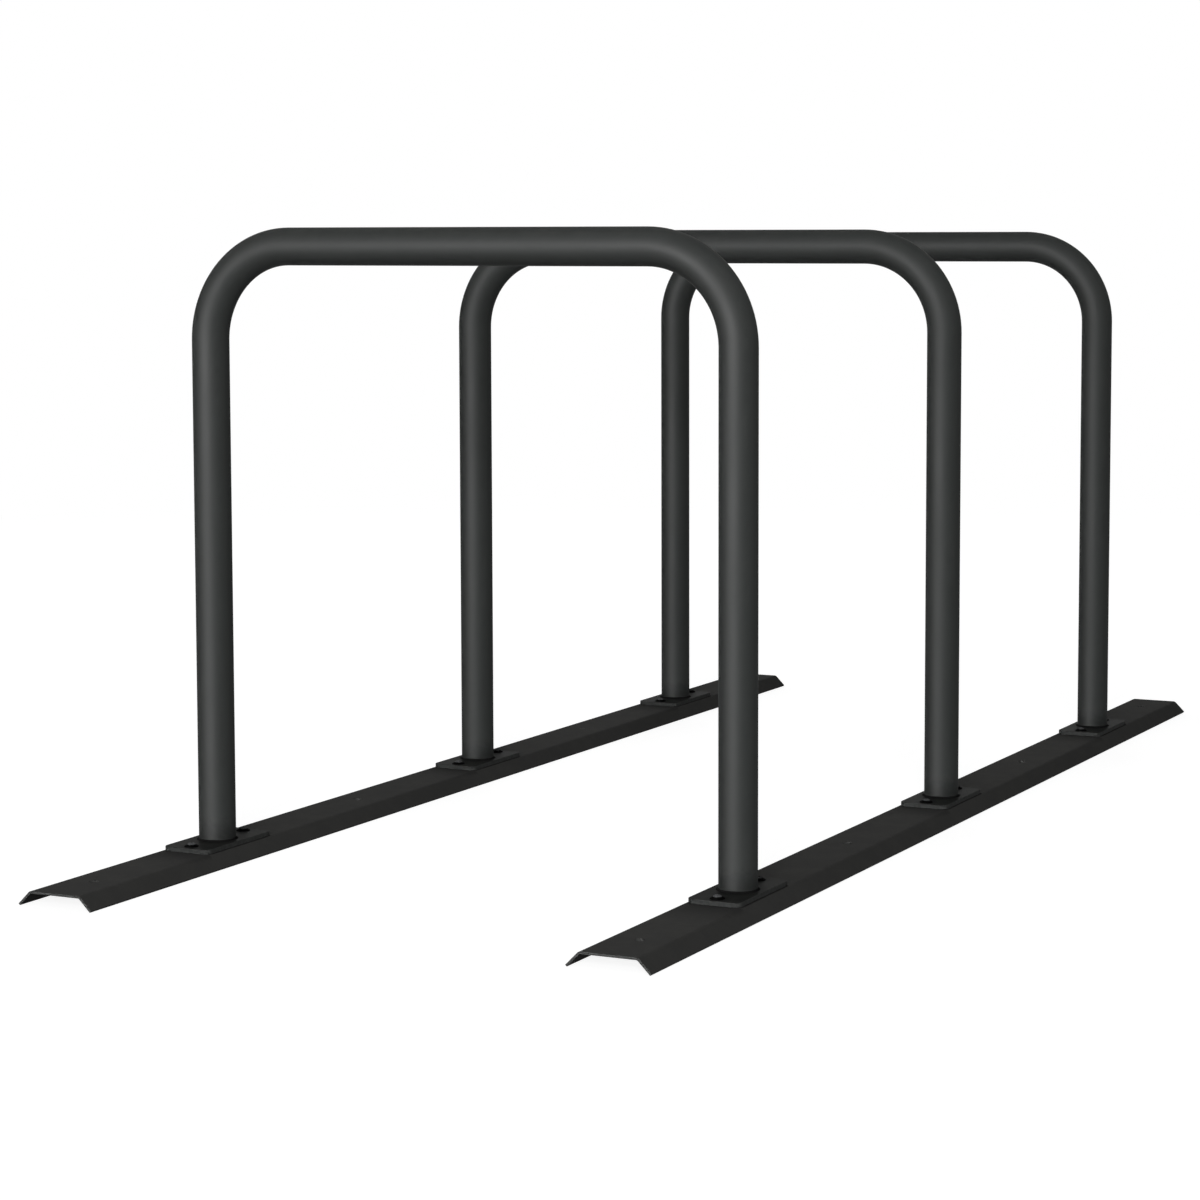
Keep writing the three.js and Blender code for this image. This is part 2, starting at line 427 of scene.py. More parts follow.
    @staticmethod
    def copy(master: bpy.types.Object, name: str, move: Vector) -> bpy.types.Object:
        """Copy a finished piece to another place, with a mesh of its own.

        Args:
            master: The piece that is copied.
            name: The copy's name.
            move: How far the copy is from the master.

        Returns:
            The copy.
        """
        twin = master.copy()
        twin.data = master.data.copy()
        twin.name = twin.data.name = name
        bpy.context.scene.collection.objects.link(twin)
        twin.data.transform(Matrix.Translation(move))
        return twin


def srgb(red: int, green: int, blue: int) -> Colour:
    """A colour as a paint chart gives it, in the linear values that Blender takes.

    Args:
        red: Red, from 0 to 255.
        green: Green, from 0 to 255.
        blue: Blue, from 0 to 255.

    Returns:
        The linear colour with an alpha of one.
    """
    linear = []
    for level in (red, green, blue):
        share = level / 255
        linear.append(share / 12.92 if share <= 0.04045 else ((share + 0.055) / 1.055) ** 2.4)
    return (linear[0], linear[1], linear[2], 1.0)


def shaded(colour: Colour, share: float) -> Colour:
    """The same colour, lighter or darker by a share."""
    red, green, blue = (min(1.0, level * share) for level in colour[:3])
    return (red, green, blue, 1.0)


def grey(level: float) -> Colour:
    """A grey of a linear level."""
    return (level, level, level, 1.0)


class Graph:
    """A node tree with short ways to add and join its nodes."""

    def __init__(self, tree: bpy.types.NodeTree) -> None:
        """Start from an existing tree."""
        self.tree = tree

    def add(self, kind: str, **settings: object) -> bpy.types.Node:
        """Add a node.

        Args:
            kind: The node's type.
            **settings: Values for its properties.

        Returns:
            The new node.
        """
        node = self.tree.nodes.new(kind)
        for setting, value in settings.items():
            setattr(node, setting, value)
        return node

    def feed(self, target: Socket, source: Source) -> None:
        """Give a socket its value.

        Args:
            target: The socket.
            source: A value, or the socket that it is joined to.
        """
        if isinstance(source, Socket):
            self.tree.links.new(source, target)
        else:
            target.default_value = source

    def calc(self, operation: str, *terms: Source, clamp: bool = False) -> Socket:
        """Work out a number.

        Args:
            operation: The Math node's operation.
            *terms: Its inputs, as sockets or numbers.
            clamp: Whether the result is held between zero and one.

        Returns:
            The result's socket.
        """
        node = self.add("ShaderNodeMath", operation=operation, use_clamp=clamp)
        for target, term in zip(node.inputs, terms):
            self.feed(target, term)
        return node.outputs["Value"]

    def off(self, value: Source, place: Source) -> Socket:
        """How far a value is from a place, to either side."""
        return self.calc("ABSOLUTE", self.calc("SUBTRACT", value, place))

    def beeline(self, one_way: Source, other_way: Source) -> Socket:
        """The distance straight across, from the distances along two axes."""
        squares = self.calc("ADD", self.calc("POWER", one_way, 2.0), self.calc("POWER", other_way, 2.0))
        return self.calc("SQRT", squares)

    def fade(self, value: Source, start: Source, end: Source) -> Socket:
        """A mask that is one on the start's side and falls smoothly to zero at an end.

        Args:
            value: The number that the mask follows.
            start: Where it leaves one.
            end: Where it gets to zero.

        Returns:
            The mask's socket.
        """
        node = self.add("ShaderNodeMapRange", interpolation_type="SMOOTHSTEP")
        self.feed(node.inputs["Value"], value)
        self.feed(node.inputs["From Min"], start)
        self.feed(node.inputs["From Max"], end)
        node.inputs["To Min"].default_value = 1
        node.inputs["To Max"].default_value = 0
        return node.outputs["Result"]

    def blend(self, share: Source, base: Source, top: Source) -> Socket:
        """Mix a colour over another one by a mask.

        Args:
            share: The mask.
            base: The colour where it is zero.
            top: The colour where it is one.

        Returns:
            The mixed colour's socket.
        """
        node = self.add("ShaderNodeMix", data_type="RGBA")
        self.feed(node.inputs["Factor"], share)
        self.feed(node.inputs[COLOUR_A], base)
        self.feed(node.inputs[COLOUR_B], top)
        return node.outputs[COLOUR_RESULT]

    def noise(self, scale: Source, detail: float, roughness: float = 0.5) -> Socket:
        """Noise that is fixed to the object.

        Args:
            scale: How many patches it has to a metre.
            detail: How many finer layers lie over them.
            roughness: How strong these layers are.

        Returns:
            The noise's socket, from about zero to one.
        """
        node = self.add("ShaderNodeTexNoise")
        self.feed(node.inputs["Vector"], self.here())
        self.feed(node.inputs["Scale"], scale)
        node.inputs["Detail"].default_value = detail
        node.inputs["Roughness"].default_value = roughness
        return node.outputs["Fac"]

    def here(self) -> Socket:
        """The point on the surface, in the object's coordinates."""
        return self.add("ShaderNodeTexCoord").outputs["Object"]

    def split(self, vector: Socket) -> Sockets:
        """Take a vector apart.

        Args:
            vector: The vector's socket.

        Returns:
            Its three parts by the names X, Y and Z.
        """
        node = self.add("ShaderNodeSeparateXYZ")
        self.feed(node.inputs["Vector"], vector)
        return {axis: node.outputs[axis] for axis in "XYZ"}


class Effect:
    """A shader node group that is built once and placed in each material that needs it."""

    name: ClassVar[str]
    inputs: ClassVar[tuple[tuple[str, float], ...]] = ()
    outputs: ClassVar[tuple[str, ...]]

    def place_in(self, graph: Graph, **values: Source) -> Sockets:
        """Put the effect in a material.

        Args:
            graph: The material's graph.
            **values: Its inputs, as sockets or numbers, with spaces in their names written as underscores.

        Returns:
            Its outputs by name.
        """
        tree = bpy.data.node_groups.get(self.name) or self.make()
        node = graph.add("ShaderNodeGroup", node_tree=tree)
        for key, value in values.items():
            graph.feed(node.inputs[key.replace("_", " ")], value)
        return {name: node.outputs[name] for name in self.outputs}

    def make(self) -> bpy.types.NodeTree:
        """Build the group with its sockets.

        Returns:
            The group's tree.
        """
        tree = bpy.data.node_groups.new(self.name, "ShaderNodeTree")
        for name, value in self.inputs:
            socket = tree.interface.new_socket(name=name, in_out="INPUT", socket_type="NodeSocketFloat")
            socket.default_value = value
        for name in self.outputs:
            tree.interface.new_socket(name=name, in_out="OUTPUT", socket_type="NodeSocketFloat")
        graph = Graph(tree)
        given = graph.add("NodeGroupInput")
        result = graph.add("NodeGroupOutput")
        made = self.work_out(graph, {name: given.outputs[name] for name, _ in self.inputs})
        for name, socket in zip(self.outputs, made):
            graph.feed(result.inputs[name], socket)
        return tree

    def work_out(self, graph: Graph, given: Sockets) -> list[Socket]:
        """Make the group's nodes; each effect has its own."""
        raise NotImplementedError


class LegPlace(Effect):
    """Where a point is: across and along the rail from the nearest leg, off that leg's axis, and how high."""

    name = "leg_place"
    outputs = ("Across", "Along", "Off Axis", "Height")

    def work_out(self, graph: Graph, given: Sockets) -> list[Socket]:
        """Fold the six feet onto one.

        Args:
            graph: The group's graph.
            given: Its inputs, of which it has none; not used.

        Returns:
            What feeds its outputs, in their order.
        """
        point = graph.split(graph.here())
        across = graph.calc("SUBTRACT", graph.calc("ABSOLUTE", point["X"]), LEG_X)
        along = graph.calc("WRAP", point["Y"], HOOP_PITCH / 2, -HOOP_PITCH / 2)
        return [across, along, graph.beeline(across, along), point["Z"]]


class CoatGrain(Effect):
    """The fine bumps of a powder coat or plating, with the slow drift of its shade."""

    name = "coat_grain"
    inputs = (("Grain Size", 1.2 * MM), ("Cloud Size", 70 * MM))
    outputs = ("Height", "Shade")
    fine_detail = 2.0
    finer_by = 3.1
    finer_detail = 1.0
    finer_share = 0.35
    cloud_detail = 3.0

    def work_out(self, graph: Graph, given: Sockets) -> list[Socket]:
        """Layer two fine noises for the height, and take a coarse one for the shade.

        Args:
            graph: The group's graph.
            given: Its inputs by name.

        Returns:
            What feeds its outputs, in their order.
        """
        fine = graph.noise(graph.calc("DIVIDE", 1.0, given["Grain Size"]), self.fine_detail)
        finer = graph.noise(graph.calc("DIVIDE", self.finer_by, given["Grain Size"]), self.finer_detail)
        height = graph.calc("MULTIPLY_ADD", finer, self.finer_share, fine)
        cloud = graph.noise(graph.calc("DIVIDE", 1.0, given["Cloud Size"]), self.cloud_detail)
        return [height, cloud]


class PaleBand(Effect):
    """A pale band along an edge, broken up by noise: wear where handling has thinned the coat, and painted
    light.
    """

    name = "edge_wear"
    inputs = (("Distance", 0.0), ("Width", 1 * MM), ("Amount", 0.5))
    outputs = ("Mask",)

    # The noise's scale, detail and roughness, and the levels that a patch fades in between
    patches = (180.0, 3.0, 0.6)
    patch_border = (0.62, 0.38)
    least = 0.75

    def work_out(self, graph: Graph, given: Sockets) -> list[Socket]:
        """Break a thin band along the edge up with noise.

        Args:
            graph: The group's graph.
            given: Its inputs by name.

        Returns:
            What feeds its output.
        """
        band = graph.fade(given["Distance"], 0.0, given["Width"])
        patches = graph.fade(graph.noise(*self.patches), *self.patch_border)
        uneven = graph.calc("MULTIPLY_ADD", patches, 1 - self.least, self.least)
        return [graph.calc("MULTIPLY", graph.calc("MULTIPLY", band, uneven), given["Amount"])]


class Dust(Effect):
    """Fine dust that lies on what faces up."""

    name = "dust"
    inputs = (("Amount", 0.1),)
    outputs = ("Mask",)

    # The noise's scale, detail and roughness, and the levels that a patch fades in between
    patches = (28.0, 4.0, 0.6)
    patch_border = (0.68, 0.36)

    def work_out(self, graph: Graph, given: Sockets) -> list[Socket]:
        """Take how far the surface faces up, in soft patches.

        Args:
            graph: The group's graph.
            given: Its inputs by name.

        Returns:
            What feeds its output.
        """
        normal = graph.split(graph.add("ShaderNodeNewGeometry").outputs["Normal"])
        up = graph.calc("MAXIMUM", normal["Z"], 0.0)
        patches = graph.fade(graph.noise(*self.patches), *self.patch_border)
        return [graph.calc("MULTIPLY", graph.calc("MULTIPLY", up, patches), given["Amount"])]


class CreaseShade(Effect):
    """Painted shade that darkens a coat where two pieces meet, fading out with an uneven border."""

    name = "crease_dirt"
    inputs = (("Distance", 0.0), ("Reach", 5 * MM), ("Amount", 0.8))
    outputs = ("Mask",)

    # The noise's scale and detail, and what it makes of the reach
    border = (140.0, 2.0)
    least_reach = 0.6
    reach_spread = 0.8

    def work_out(self, graph: Graph, given: Sockets) -> list[Socket]:
        """Fade out from the crease, with an uneven border.

        Args:
            graph: The group's graph.
            given: Its inputs by name.

        Returns:
            What feeds its output.
        """
        uneven = graph.calc("MULTIPLY_ADD", graph.noise(*self.border), self.reach_spread, self.least_reach)
        reach = graph.calc("MULTIPLY", given["Reach"], uneven)
        return [graph.calc("MULTIPLY", graph.fade(given["Distance"], 0.0, reach), given["Amount"])]


def outside_plate(graph: Graph, place: Sockets) -> Socket:
    """How far a point is outside a foot plate's outline, below zero inside it.

    Args:
        graph: The graph to work in.
        place: The point, as the leg place effect gives it.

    Returns:
        The distance.
    """
    radius = FootPlate.corner_radius
    over_x = graph.calc("SUBTRACT", graph.calc("ABSOLUTE", place["Across"]), FootPlate.width / 2 - radius)
    over_y = graph.calc("SUBTRACT", graph.calc("ABSOLUTE", place["Along"]), FootPlate.length / 2 - radius)
    corner = graph.beeline(graph.calc("MAXIMUM", over_x, 0.0), graph.calc("MAXIMUM", over_y, 0.0))
    inside = graph.calc("MINIMUM", graph.calc("MAXIMUM", over_x, over_y), 0.0)
    return graph.calc("SUBTRACT", graph.calc("ADD", corner, inside), radius)


def off_screw(graph: Graph, place: Sockets) -> Socket:
    """How far a point is from the axis of the nearest screw.

    Args:
        graph: The graph to work in.
        place: The point, as the leg place effect gives it.

    Returns:
        The distance.
    """
    past = graph.calc("SUBTRACT", graph.calc("ABSOLUTE", place["Along"]), SCREW_FROM_LEG)
    return graph.beeline(past, place["Across"])


@dataclass(frozen=True)
class Nearest:
    """How far a point is from the nearest pale edge of its coat, worn and painted lighter, and from the
    crease and the spot that its painted shade runs from.
    """

    edge: Source = FAR_OFF
    crease: Source = FAR_OFF
    shade: Source = FAR_OFF


@dataclass(frozen=True, kw_only=True)
class Finish:
    """A coat, blacking or plating: a fine grain, and a slow drift of its shade and its roughness."""

    name: str
    roughness: float
    roughness_spread: float
    gloss: float = 0.5
    metallic: float = 0.0
    grain_size: float
    grain_depth: float
    cloud_size: float = 70 * MM

    def dress(self, graph: Graph, shade: Socket, rough: Socket) -> tuple[Socket, Socket]:
        """Make the colour, and lay marks on the roughness; each finish has its own way."""
        raise NotImplementedError

    def material(self) -> bpy.types.Material:
        """Build the material.

        Returns:
            The new material.
        """
        material = bpy.data.materials.new(self.name)
        material.use_nodes = True
        graph = Graph(material.node_tree)
        surface = graph.tree.nodes["Principled BSDF"].inputs
        grain = CoatGrain().place_in(graph, Grain_Size=self.grain_size, Cloud_Size=self.cloud_size)
        smoothest = self.roughness - self.roughness_spread / 2
        drift = graph.calc("MULTIPLY_ADD", grain["Shade"], self.roughness_spread, smoothest)
        colour, rough = self.dress(graph, grain["Shade"], drift)
        bump = graph.add("ShaderNodeBump")
        bump.inputs["Distance"].default_value = self.grain_depth
        graph.feed(bump.inputs["Height"], grain["Height"])
        graph.feed(surface["Base Color"], colour)
        graph.feed(surface["Roughness"], rough)
        graph.feed(surface["Specular IOR Level"], self.gloss)
        graph.feed(surface["Metallic"], self.metallic)
        graph.feed(surface["Normal"], bump.outputs["Normal"])
        return material


@dataclass(frozen=True, kw_only=True)
class PowderCoat(Finish):
    """A matt powder coat: its colour, its dust, its edges, worn and painted lighter, and painted shade in its
    creases and round them.
    """

    colour: Colour
    roughness: float = 0.58
    roughness_spread: float = 0.1
    gloss: float = 0.015
    shade_drift: float = 0.05
    grain_size: float = 1.1 * MM
    grain_depth: float = 0.03 * MM
    # Edge wear, whose pale colour is also painted light on lit faces and hole walls
    wear_and_light: float = 0.12
    wear_width: float = 0.8 * MM
    worn_and_lit_colour: Colour = srgb(112, 114, 113)
    dust: float = 0.04
    dust_roughness: float = 0.4
    dust_colour: Colour = srgb(120, 118, 112)
    # Painted contact shade: a near-black darkening at creases, where the coat is also made rougher
    crease_shade: float = 0.8
    crease_shade_reach: float = 3 * MM
    crease_roughness: float = 0.6
    shade_colour: Colour = srgb(9, 9, 9)
    # A wider painted shade round the creases, in the same near-black
    shade: float = 0.5
    shade_reach: float = 35 * MM

    def nearest(self, graph: Graph, place: Sockets) -> Nearest:
        """Where the marks are; a plain coat has none."""
        return Nearest()

    def dress(self, graph: Graph, shade: Socket, rough: Socket) -> tuple[Socket, Socket]:
        """Lay wear with painted light, dust, and painted shade over the coat.

        Args:
            graph: The material's graph.
            shade: The drift of the coat's shade.
            rough: The coat's roughness before dust and the painted crease shade roughen it.

        Returns:
            The colour and the roughness.
        """
        marks = self.nearest(graph, LegPlace().place_in(graph))
        wear_and_light_mask = PaleBand().place_in(graph, Distance=marks.edge, Width=self.wear_width, Amount=self.wear_and_light)
        dusty = Dust().place_in(graph, Amount=self.dust)
        crease_shade_mask = CreaseShade().place_in(graph, Distance=marks.crease, Reach=self.crease_shade_reach, Amount=self.crease_shade)
        wide_shade_mask = CreaseShade().place_in(graph, Distance=marks.shade, Reach=self.shade_reach, Amount=self.shade)
        light, dark = shaded(self.colour, 1 + self.shade_drift), shaded(self.colour, 1 - self.shade_drift)
        colour = graph.blend(shade, dark, light)
        # Edges paled by wear and by painted light
        colour = graph.blend(wear_and_light_mask["Mask"], colour, self.worn_and_lit_colour)
        colour = graph.blend(dusty["Mask"], colour, self.dust_colour)
        # Both masks darken the coat towards near black: painted shade
        painted_shade_mask = graph.calc("MAXIMUM", crease_shade_mask["Mask"], wide_shade_mask["Mask"])
        colour = graph.blend(painted_shade_mask, colour, self.shade_colour)
        rough = graph.calc("MULTIPLY_ADD", dusty["Mask"], self.dust_roughness, rough)
        rough = graph.calc("MULTIPLY_ADD", crease_shade_mask["Mask"], self.crease_roughness, rough, clamp=True)
        return colour, rough


@dataclass(frozen=True)
class HoopCoat(PowderCoat):
    """The hoops' coat, with shade painted dark at the foot of a leg."""

    name: str = "hoop_powder_coat"
    colour: Colour = srgb(58, 60, 59)

    # Below this height the painted shade at the foot is as dark as it gets
    foot_z: float = PLATE_TOP_Z + 0.8 * MM

    def nearest(self, graph: Graph, place: Sockets) -> Nearest:
        """The painted crease shade and wide shade both run from the weld at the foot; a tube has no edge."""
        above_foot = graph.calc("SUBTRACT", place["Height"], self.foot_z)
        return Nearest(crease=above_foot, shade=above_foot)


@dataclass(frozen=True)
class WeldCoat(HoopCoat):
    """The welds' coat, painted darker than the hoops' and shaded dark all the way up the bead: painted shade
    at the foot of a leg.
    """

    name: str = "weld_powder_coat"
    # Darker than the hoops' coat, as painted shade
    colour: Colour = srgb(40, 41, 40)
    roughness: float = 0.75
    gloss: float = 0.01
    crease_shade: float = 0.95
    foot_z: float = PLATE_TOP_Z + 2 * MM


@dataclass(frozen=True)
class RailCoat(PowderCoat):
    """The rails' coat, worn and painted lighter at its edges, with painted shade round the foot plates and a
    painted shadow on the web in front of them.
    """

    name: str = "rail_powder_coat"
    colour: Colour = srgb(60, 60, 59)
    roughness: float = 0.85
    gloss: float = 0.01
    # High enough to paint the cut ends and the anchor hole walls lighter, as painted light
    wear_and_light: float = 0.4
    crease_shade: float = 0.75
    shade: float = 0.38
    shade_reach: float = 85 * MM

    # The flanges' lower edges, and how much less they and the anchor holes are worn and painted lighter than
    # the cut ends
    tip_z: float = 1 * MM
    tip_guard: float = 0.5 * MM
    hole_guard: float = 0.45 * MM

    # How much faster the painted shadow ends off the web, and beside a plate, than it does along the web
    off_web_factor: float = 10.0

    def nearest(self, graph: Graph, place: Sockets) -> Nearest:
        """Find the cut ends, flange tips and holes, worn and painted lighter, the plates' outlines, shaded
        round, and the web in front of them, where a shadow is painted.

        Args:
            graph: The graph to work in.
            place: The point, as the leg place effect gives it.

        Returns:
            The distances.
        """
        y = graph.split(graph.here())["Y"]
        to_end = graph.calc("SUBTRACT", GroundRail.length / 2, graph.calc("ABSOLUTE", y))
        to_tip = graph.calc("ADD", graph.off(place["Height"], self.tip_z), self.tip_guard)
        to_hole = graph.calc("ADD", self.off_hole_wall(graph, place["Across"], y), self.hole_guard)
        edge = graph.calc("MINIMUM", graph.calc("MINIMUM", to_end, to_tip), to_hole)
        off_plate = outside_plate(graph, place)
        below_top = graph.calc("SUBTRACT", RAIL_TOP_Z, place["Height"])
        crease = graph.calc("MAXIMUM", graph.calc("ABSOLUTE", off_plate), below_top)
        beside = graph.calc("MAXIMUM", graph.calc("ADD", place["Along"], FootPlate.length / 2), 0.0)
        off_web = graph.calc("ADD", beside, graph.calc("MAXIMUM", below_top, 0.0))
        # The web in front of a plate carries a painted shadow of the leg
        shade = graph.calc("MULTIPLY_ADD", off_web, self.off_web_factor, off_plate)
        return Nearest(edge, crease, shade)

    def off_hole_wall(self, graph: Graph, across: Socket, y: Socket) -> Socket:
        """How far a point is from the wall of the nearest anchor hole.

        Args:
            graph: The graph to work in.
            across: How far the point is from the rail's centre line.
            y: Where it is along the rail.

        Returns:
            The distance.
        """
        from_middle = graph.calc("ABSOLUTE", y)
        to_end_hole = graph.off(from_middle, GroundRail.length / 2 - GroundRail.anchor_end_inset)
        to_inner_hole = graph.off(from_middle, HOOP_PITCH / 2)
        along = graph.calc("MINIMUM", to_end_hole, to_inner_hole)
        return graph.off(graph.beeline(along, across), GroundRail.anchor_hole / 2)


@dataclass(frozen=True)
class PlateCoat(PowderCoat):
    """The foot plates' coat, worn and painted lighter along the outline, with painted shade round the weld
    and the screws.
    """

    name: str = "plate_powder_coat"
    colour: Colour = srgb(38, 39, 38)
    roughness: float = 0.35
    gloss: float = 0.0018
    # Strong enough to paint the side faces lighter, as painted light
    wear_and_light: float = 0.24
    crease_shade: float = 0.9
    crease_shade_reach: float = 2 * MM
    shade: float = 0.4
    shade_reach: float = 20 * MM

    # How much faster the painted shade ends round a screw, and down the plate's edge, than it does round the
    # weld
    screw_factor: float = 2.0
    depth_factor: float = 3.0

    def nearest(self, graph: Graph, place: Sockets) -> Nearest:
        """Find the plate's outline, and the leg and the screw heads that the painted shade runs round.

        Args:
            graph: The graph to work in.
            place: The point, as the leg place effect gives it.

        Returns:
            The distances.
        """
        outline = graph.calc("ABSOLUTE", outside_plate(graph, place))
        to_weld = graph.calc("SUBTRACT", place["Off Axis"], WeldBead.toe_radius)
        to_screw = graph.calc("SUBTRACT", off_screw(graph, place), ButtonScrew.collar_diameter / 2)
        nearer = graph.calc("MINIMUM", to_weld, graph.calc("MULTIPLY", to_screw, self.screw_factor))
        below_top = graph.calc("SUBTRACT", PLATE_TOP_Z, place["Height"])
        crease = graph.calc("MULTIPLY_ADD", below_top, self.depth_factor, nearer)
        return Nearest(outline, crease, crease)


@dataclass(frozen=True)
class BlackSteel(Finish):
    """The screws' black finish, with a highlight painted pale on the dome, strongest on the heads in front of
    a leg because a painted leg shadow dims the rest, and painted shade round the dome's foot.
    """

    name: str = "screw_black_steel"
    colour: Colour = srgb(20, 20, 20)
    roughness: float = 0.6
    roughness_spread: float = 0.16
    gloss: float = 0.002
    grain_size: float = 0.5 * MM
    grain_depth: float = 0.02 * MM
    cloud_size: float = 6 * MM
    # The painted highlight on the dome, and the painted shade round its foot
    highlight_colour: Colour = srgb(90, 91, 92)
    highlight_reach: float = 9 * MM
    highlight_behind_leg: float = 0.5
    shade_colour: Colour = srgb(5, 5, 5)
    crease_shade_reach: float = 0.5 * MM
    shaded_rim: float = 0.8 * MM

    def dress(self, graph: Graph, shade: Socket, rough: Socket) -> tuple[Socket, Socket]:
        """Paint a highlight on the dome, and painted shade round its foot.

        Args:
            graph: The material's graph.
            shade: The drift of the finish's shade, not used; only its roughness shows it.
            rough: Its roughness.

        Returns:
            The colour and the roughness.
        """
        place = LegPlace().place_in(graph)
        below_top = graph.calc("SUBTRACT", PLATE_TOP_Z + ButtonScrew.head_height, place["Height"])
        # Heads behind a leg get a dimmer painted highlight: a painted shadow of the leg
        in_front = graph.calc("LESS_THAN", place["Along"], 0.0)
        highlight_share = graph.calc("MULTIPLY_ADD", in_front, 1 - self.highlight_behind_leg, self.highlight_behind_leg)
        wear_and_light_mask = PaleBand().place_in(graph, Distance=below_top, Width=self.highlight_reach, Amount=highlight_share)
        # A near-black ring painted round the dome's foot: painted contact shade
        unshaded_radius = ButtonScrew.dome_diameter / 2 - self.shaded_rim
        inside = graph.calc("SUBTRACT", unshaded_radius, off_screw(graph, place))
        crease_shade_mask = CreaseShade().place_in(graph, Distance=inside, Reach=self.crease_shade_reach, Amount=1.0)
        colour = graph.blend(wear_and_light_mask["Mask"], self.colour, self.highlight_colour)
        return graph.blend(crease_shade_mask["Mask"], colour, self.shade_colour), rough


@dataclass(frozen=True)
class ZincPlate(Finish):
    """The dull zinc of the nuts and washers."""

    name: str = "nut_zinc_plate"
    bright: Colour = srgb(172, 176, 178)
    dull: Colour = srgb(128, 130, 130)
    roughness: float = 0.38
    roughness_spread: float = 0.2
    metallic: float = 1.0
    grain_size: float = 0.8 * MM
    grain_depth: float = 0.02 * MM
    cloud_size: float = 9 * MM

    def dress(self, graph: Graph, shade: Socket, rough: Socket) -> tuple[Socket, Socket]:
        """Let the zinc drift between dull and bright."""
        return graph.blend(shade, self.dull, self.bright), rough


@dataclass
class Part:
    """A kind of part: its master is modelled once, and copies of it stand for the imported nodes."""

    finish: bpy.types.Material
    title: ClassVar[str]
    node: ClassVar[str]
    slot: ClassVar[Slot]
    spread: ClassVar[Spread]

    def model(self) -> bpy.types.Object:
        """Model the master in the middle of the rack; each kind of part has its own way."""
        raise NotImplementedError

    def build(self) -> list[bpy.types.Object]:
        """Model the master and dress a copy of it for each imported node.

        Returns:
            The copies.
        """
        master = self.model()
        pieces = []
        for where, move in self.spread.places():
            piece = Bench.copy(master, f"{where}_{self.title}", move)
            piece.data.materials.clear()
            piece.data.materials.append(self.finish)
            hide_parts(f"{self.node}_{where}")
            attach(piece, "root")
            pieces.append(piece)
        bpy.data.objects.remove(master)
        return pieces


@dataclass
class HoopTube(Part):
    """A hoop: one tube bent twice, open at both feet."""

    title = "hoop_tube"
    node = "hoop"
    slot = Slot.HOOP
    spread = Spread.HOOPS

    width: float = 800 * MM
    height: float = 800 * MM
    bend_radius: float = 120.75 * MM
    diameter: float = 48.3 * MM
    wall: float = 3 * MM
    sides: int = 72
    bend_steps: int = 28

    def model(self) -> bpy.types.Object:
        """Draw the tube up one leg, over the top and down the other.

        Returns:
            The middle hoop.
        """
        leg_x = (self.width - self.diameter) / 2
        bend_x = leg_x - self.bend_radius
        bend_z = PLATE_TOP_Z + self.height - self.diameter / 2 - self.bend_radius
        rise = bend_z - PLATE_TOP_Z
        start = Vector((-leg_x, 0, PLATE_TOP_Z))
        piece = Bench.ring("hoop_master", self.diameter / 2, self.sides, start, filled=False)
        Bench.edit(piece, whole=True)
        Bench.extrude((0, 0, rise))
        self.spin(Vector((-bend_x, 0, bend_z)))
        Bench.extrude((2 * bend_x, 0, 0))
        self.spin(Vector((bend_x, 0, bend_z)))
        Bench.extrude((0, 0, -rise))
        Bench.close()
        Bench.face_outwards(piece)
        Bench.apply(piece, "SOLIDIFY", thickness=self.wall, offset=-1, use_even_offset=True)
        Bench.smooth(piece)
        return piece

    def spin(self, centre: Vector) -> None:
        """Turn the open end a quarter about a bend's centre."""
        bpy.ops.mesh.spin(steps=self.bend_steps, angle=math.pi / 2, center=centre, axis=(0, -1, 0))


